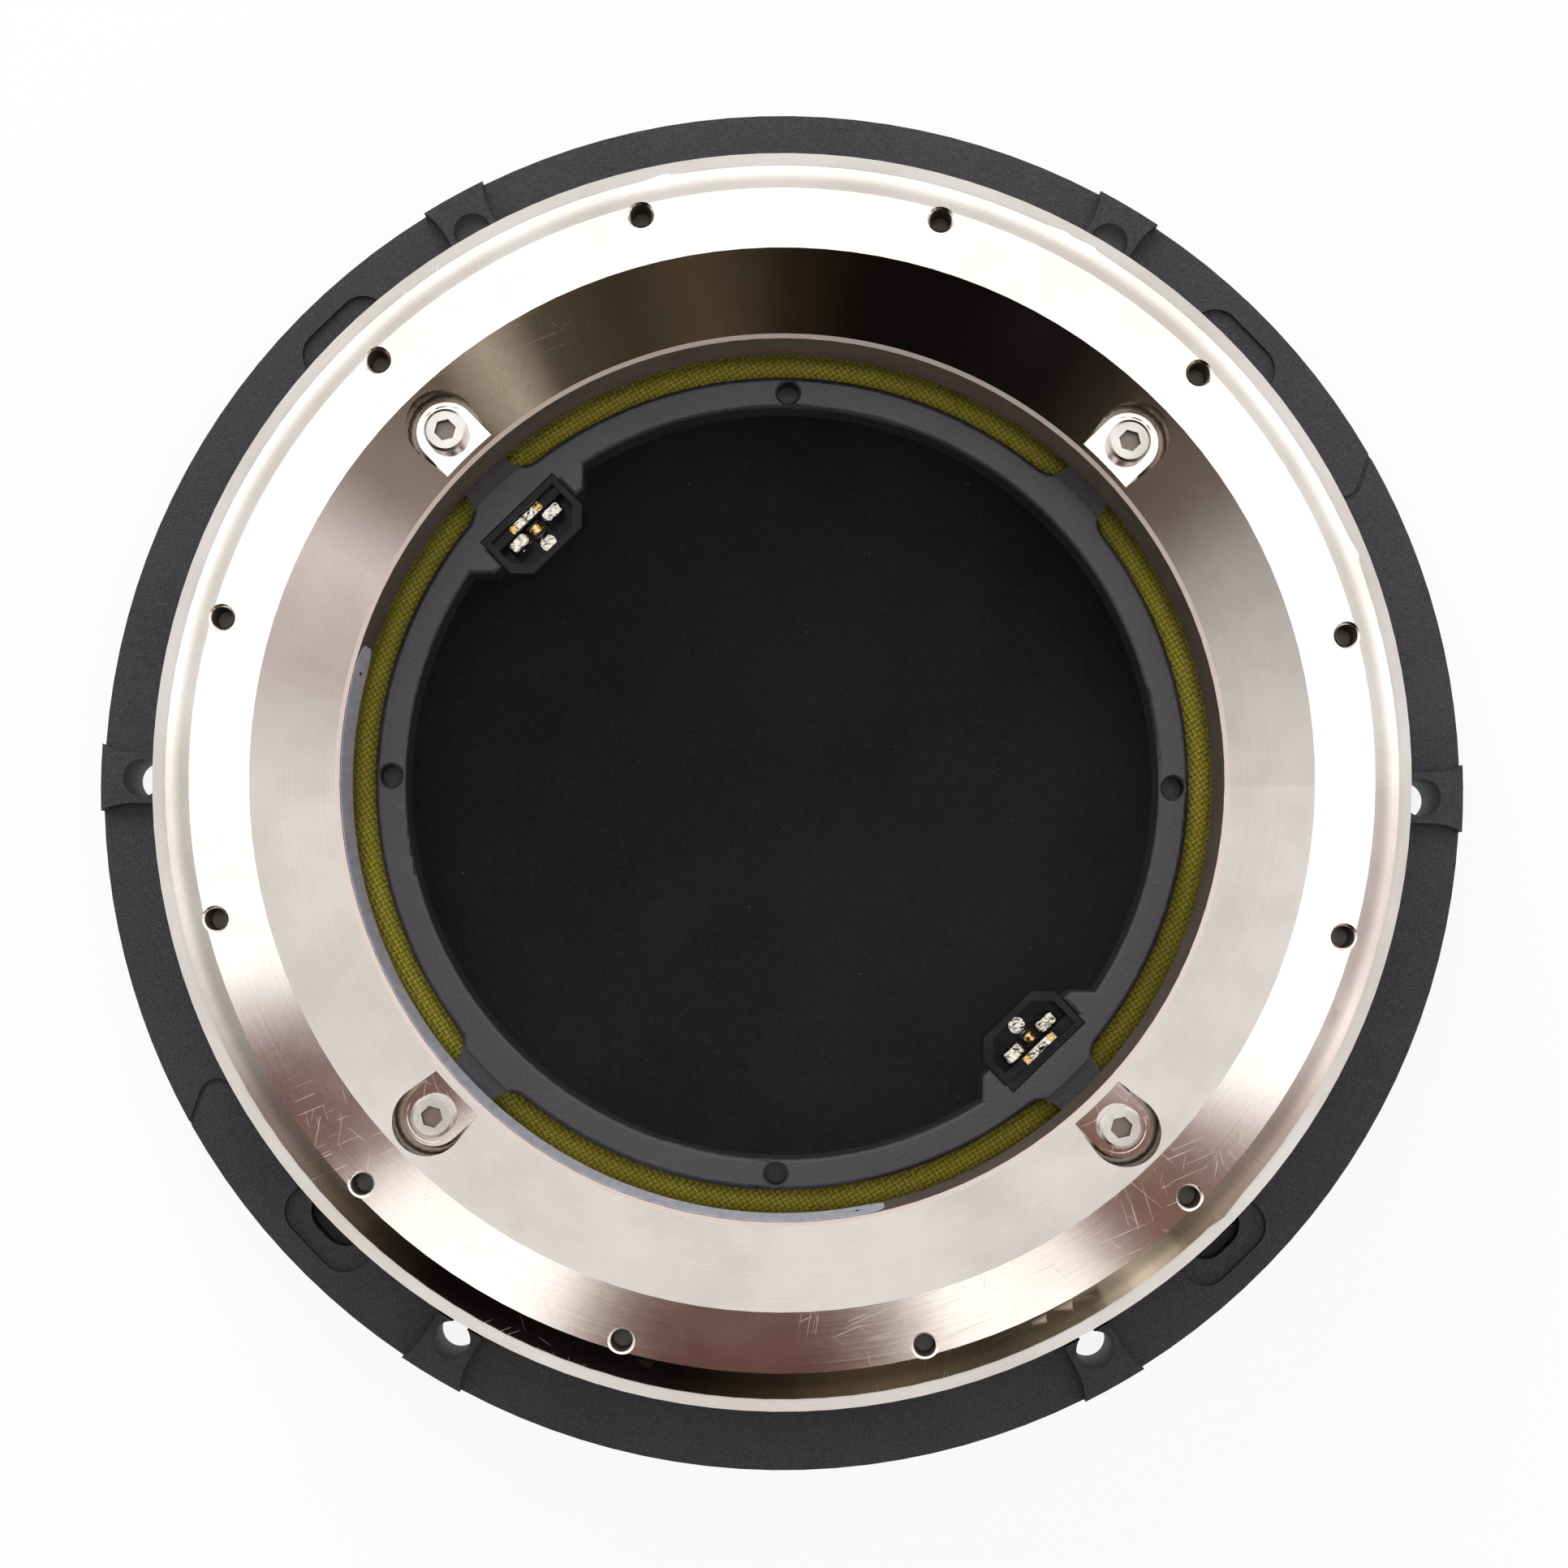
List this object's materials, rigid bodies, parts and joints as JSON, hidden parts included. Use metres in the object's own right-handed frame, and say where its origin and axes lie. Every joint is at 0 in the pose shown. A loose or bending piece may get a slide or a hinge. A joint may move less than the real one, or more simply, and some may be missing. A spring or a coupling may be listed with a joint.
{
  "type": "loudspeaker driver",
  "caption": "Shallow ring-motor car subwoofer driver lying on its front gasket, with an open plated motor ring, a black basket flange and a sprung dome diaphragm.",
  "frame": {"origin": "centre of the front gasket's face, on the driver's axis", "axes": "+Z from the front gasket to the motor's rear face, +X through one flange hole"},
  "size_m": [0.1886, 0.1886, 0.055],
  "materials": {
    "cast_black": "fine matte powder coat on cast aluminium",
    "cast_charcoal": "fine matte powder coat, slightly lighter",
    "black_anodised": "satin black, turned",
    "foam_black": "closed-cell foam",
    "black_steel": "black oxide",
    "plain_steel": "turned, oiled",
    "nickel_plate": "bright nickel plate over a turned surface, lightly scratched",
    "magnet_plate": "nickel-plated magnet",
    "copper": "bright copper",
    "aluminium": "turned",
    "liner_paper": "hard wound paper, brown grey",
    "label_white": "blank self-adhesive strip",
    "screw_steel": "zinc-plated steel",
    "black_plastic": "moulded, matte",
    "woven_aramid": "yellow aramid cloth, twill weave",
    "surround_rubber": "moulded, matte",
    "diaphragm_paper": "coated black pulp, felt-like back",
    "former_foil": "foil former",
    "winding_copper": "enamelled copper wire",
    "terminal_plastic": "moulded, glossy black",
    "tinned_metal": "tinned",
    "tinsel": "braided copper tinsel"
  },
  "bodies": {
    "frame": {"basket": "cast_black", "front_gasket": "foam_black", "trim_ring": "black_anodised", "motor_screws": "black_steel", "locating_pins": "plain_steel", "yoke_cup": "nickel_plate", "magnet_blocks": "magnet_plate", "pole_plate": "plain_steel", "copper_sleeve": "copper", "outer_pole_ring": "plain_steel", "shorting_ring": "aluminium", "bore_liner": "liner_paper", "label_band": "label_white", "hub_frame": "cast_charcoal", "hub_screws": "screw_steel", "suspension_clamp": "black_plastic", "terminal_housing_left": "terminal_plastic", "terminal_lugs_left": "tinned_metal", "contact_strip_left": "tinned_metal", "strip_ends_left": "copper", "contact_clip_left": "copper", "terminal_rivet_left": "tinned_metal", "lead_wire_left": "tinsel", "terminal_housing_right": "terminal_plastic", "terminal_lugs_right": "tinned_metal", "contact_strip_right": "tinned_metal", "strip_ends_right": "copper", "contact_clip_right": "copper", "terminal_rivet_right": "tinned_metal", "lead_wire_right": "tinsel", "inner_suspension": "woven_aramid", "surround": "surround_rubber"},
    "diaphragm_assembly": {"diaphragm": "diaphragm_paper", "coil_former": "former_foil", "voice_coil": "winding_copper", "former_collar": "black_plastic", "lead_tab_left": "copper", "lead_tab_right": "copper"}
  },
  "joints": [
    {"name": "diaphragm_travel", "type": "slide", "parent": "frame", "child": "diaphragm_assembly", "axis": [0, 0, 1], "range_m": [-0.003, 0.003], "stiffness_N_per_m": 3000, "deforming": ["surround", "inner_suspension", "lead_wire_left", "lead_wire_right"]}
  ]
}
